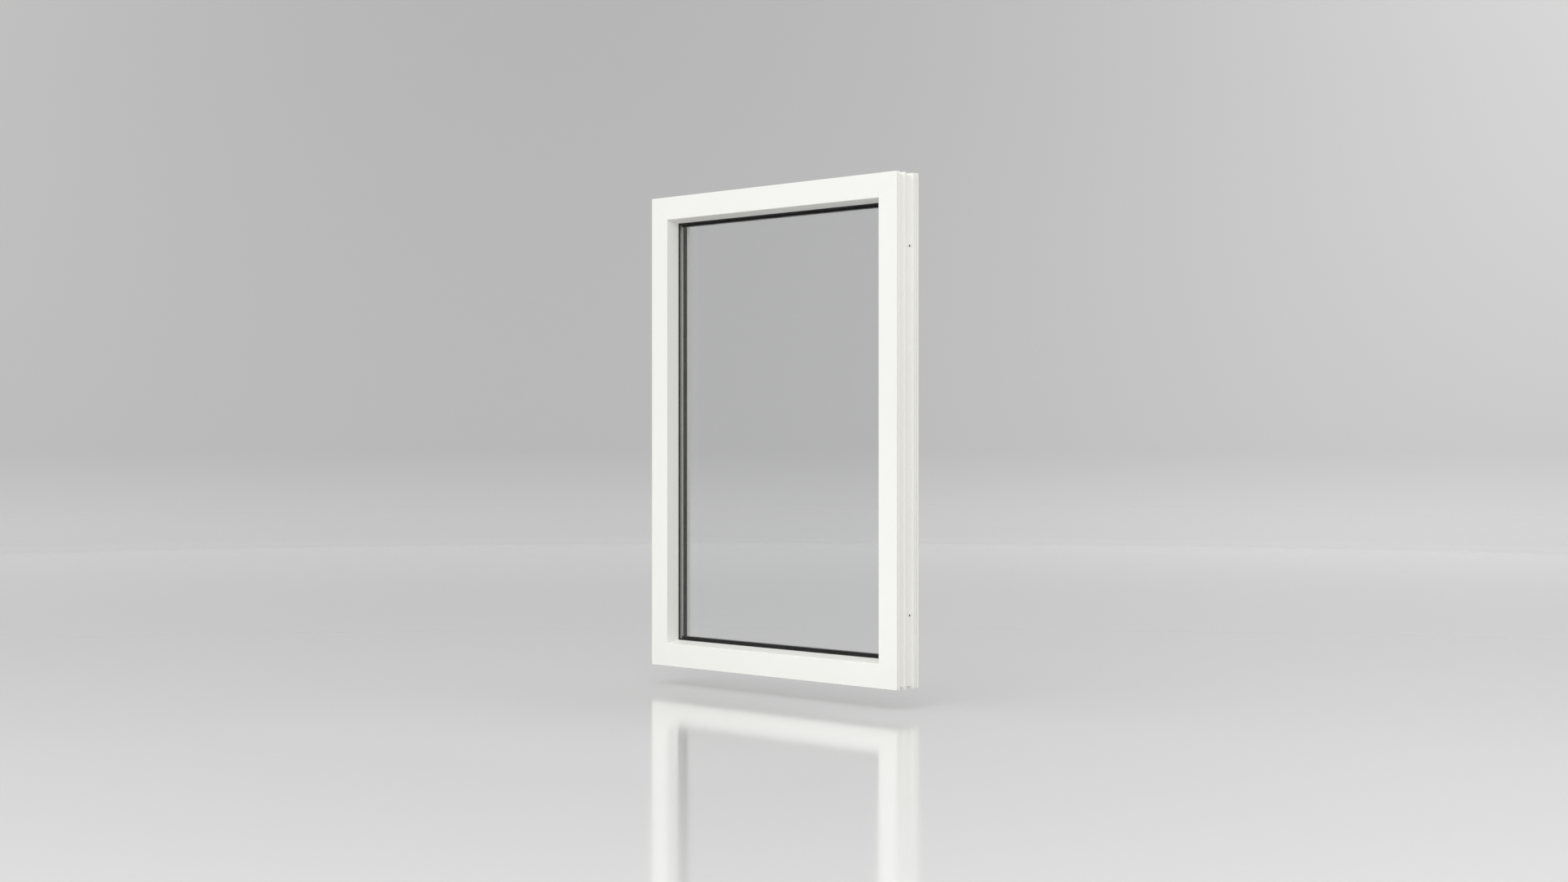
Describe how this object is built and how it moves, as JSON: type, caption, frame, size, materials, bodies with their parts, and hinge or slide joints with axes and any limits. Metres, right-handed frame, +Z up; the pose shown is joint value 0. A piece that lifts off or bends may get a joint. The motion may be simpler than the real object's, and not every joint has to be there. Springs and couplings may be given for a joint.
{
  "type": "casement window",
  "caption": "White PVC casement window: a mitred frame whose flange hides an inward-opening side-hung sash with double glazing, hinges and a locking handle.",
  "frame": {"origin": "middle of the sill's underside, on the middle rib of the frame's edge, 30.5 mm behind the outdoor face", "axes": "+X to the right as seen from outdoors (towards the lock side), +Y from outdoors to indoors, +Z up"},
  "size_m": [0.85, 0.111, 1.2],
  "materials": {
    "white_pvc": "smooth semi-gloss white PVC",
    "white_cover": "white moulded cover",
    "white_enamel": "white powder coat",
    "black_gasket": "matt black sealing rubber",
    "clear_glass": "clear float glass",
    "dark_spacer": "dark warm-edge spacer",
    "sealant": "black edge sealant",
    "block_plastic": "grey-blue packer plastic",
    "galvanised_steel": "galvanised steel tube",
    "zinc_steel": "bright zinc-plated steel",
    "zinc_casting": "satin zinc die casting"
  },
  "bodies": {
    "frame": {"frame_head": "white_pvc", "frame_sill": "white_pvc", "frame_hinge_jamb": "white_pvc", "frame_lock_jamb": "white_pvc", "frame_head_steel": "galvanised_steel", "frame_sill_steel": "galvanised_steel", "frame_hinge_jamb_steel": "galvanised_steel", "frame_lock_jamb_steel": "galvanised_steel", "frame_glass_gasket": "black_gasket", "lower_keep": "zinc_casting", "upper_keep": "zinc_casting", "keep_screws": "zinc_steel", "lower_hinge_frame_leaf": "white_enamel", "upper_hinge_frame_leaf": "white_enamel", "lower_hinge_pin": "zinc_steel", "upper_hinge_pin": "zinc_steel", "hinge_washers": "block_plastic", "hinge_frame_screws": "zinc_steel", "hinge_bottom_caps": "white_cover"},
    "sash": {"sash_top_rail": "white_pvc", "sash_bottom_rail": "white_pvc", "sash_hinge_stile": "white_pvc", "sash_lock_stile": "white_pvc", "sash_top_rail_steel": "galvanised_steel", "sash_bottom_rail_steel": "galvanised_steel", "sash_hinge_stile_steel": "galvanised_steel", "sash_lock_stile_steel": "galvanised_steel", "top_glazing_bead": "white_pvc", "bottom_glazing_bead": "white_pvc", "hinge_side_glazing_bead": "white_pvc", "lock_side_glazing_bead": "white_pvc", "outdoor_pane": "clear_glass", "indoor_pane": "clear_glass", "spacer_bar": "dark_spacer", "edge_seal": "sealant", "glass_bond": "sealant", "setting_blocks": "block_plastic", "bead_gasket": "black_gasket", "sash_overlap_gasket": "black_gasket", "lower_hinge_sash_leaf": "white_enamel", "upper_hinge_sash_leaf": "white_enamel", "hinge_sash_screws": "zinc_steel", "hinge_top_caps": "white_cover", "espagnolette_faceplate": "zinc_steel", "faceplate_screws": "zinc_steel", "gearbox_housing": "zinc_casting", "handle_screws": "zinc_steel", "rosette_plate": "zinc_casting", "rosette_cover": "white_cover"},
    "handle": {"handle_lever": "white_enamel", "handle_spindle": "zinc_steel", "gearbox_hub": "zinc_casting"},
    "locking_rod": {"drive_rod": "zinc_steel", "lower_locking_cam": "zinc_steel", "upper_locking_cam": "zinc_steel"}
  },
  "joints": [
    {"name": "sash_swing", "type": "hinge", "parent": "frame", "child": "sash", "pos_m": [-0.413, 0.055, 0.6], "axis": [0, 0, 1], "range_deg": [0, 90]},
    {"name": "handle_turn", "type": "hinge", "parent": "sash", "child": "handle", "pos_m": [0.3805, 0.0235, 0.6], "axis": [0, -1, 0], "range_deg": [0, 90]},
    {"name": "rod_slide", "type": "slide", "parent": "sash", "child": "locking_rod", "axis": [0, 0, 1], "range_m": [0, 0.0105]}
  ],
  "couplings": [
    {"joint": "rod_slide", "follows": "handle_turn", "m_per_rad": 0.00668}
  ]
}
